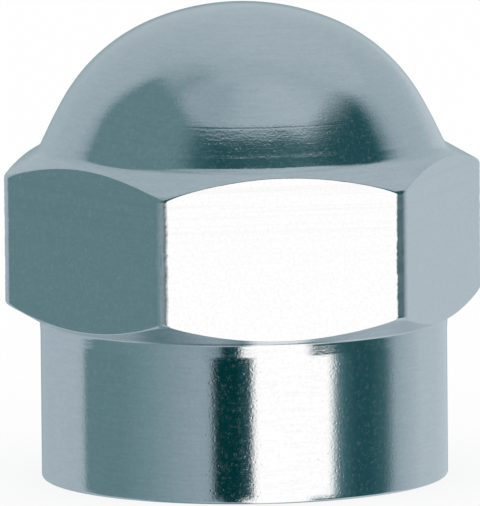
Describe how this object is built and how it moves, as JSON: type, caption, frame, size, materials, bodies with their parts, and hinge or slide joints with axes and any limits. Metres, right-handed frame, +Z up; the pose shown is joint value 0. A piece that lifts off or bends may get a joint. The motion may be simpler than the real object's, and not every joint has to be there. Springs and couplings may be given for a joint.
{
  "type": "tyre valve cap",
  "caption": "Plated metal tyre valve cap with a domed crown, a chamfered hexagon band and a round skirt, threaded inside and sealed by a rubber washer.",
  "frame": {"origin": "centre of the open mouth, on the rim that the cap stands on", "axes": "+Z up the cap's axis to the top of the dome; two of the six flats face -Y and +Y"},
  "size_m": [0.0114, 0.01, 0.0112],
  "materials": {
    "plated_metal": "gloss",
    "seal_rubber": "matte"
  },
  "bodies": {
    "root": {"cap_body": "plated_metal", "sealing_washer": "seal_rubber"}
  },
  "joints": []
}
